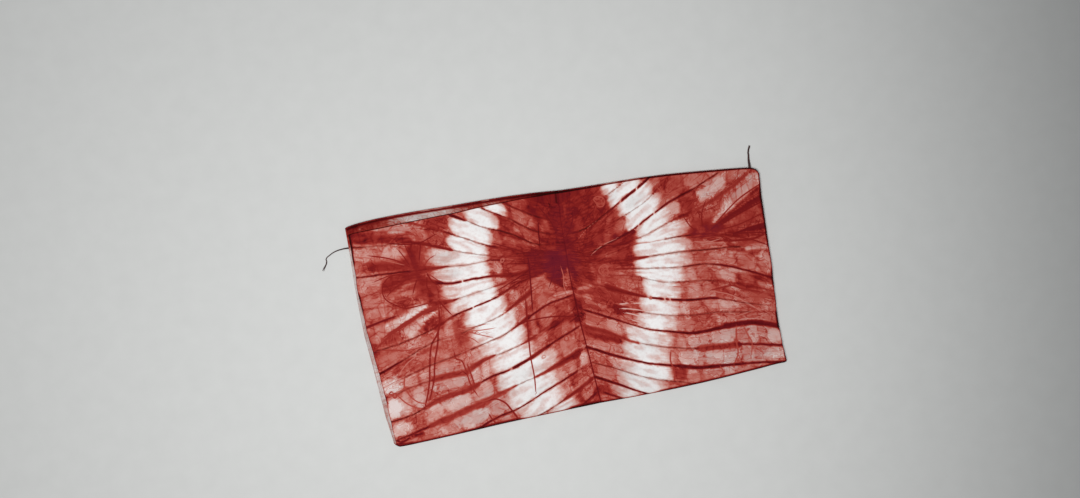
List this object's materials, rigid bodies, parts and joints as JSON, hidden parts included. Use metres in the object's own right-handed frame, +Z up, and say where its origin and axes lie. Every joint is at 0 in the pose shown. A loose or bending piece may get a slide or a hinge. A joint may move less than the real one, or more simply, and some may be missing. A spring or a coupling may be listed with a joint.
{
  "type": "folded adire cloth",
  "caption": "Tie-dyed cotton cloth, folded into a flat oblong stack of layers with pleated top and loose thread ends.",
  "frame": {"origin": "on the surface that the stack lies on, under the middle of the cloth's outline without the thread ends", "axes": "+X along the long edges, +Y towards the back edge where the raw ends lie, +Z up through the stack"},
  "size_m": [0.6284, 0.3258, 0.0138],
  "materials": {
    "dyed_cotton": "starched plain-weave cotton with a faint sheen, undyed white bands in red-brown dye",
    "tying_thread": "dark dyed cotton thread, matt and slightly fuzzy"
  },
  "bodies": {
    "root": {"cloth": "dyed_cotton", "thread_left": "tying_thread", "thread_right": "tying_thread"}
  },
  "joints": []
}
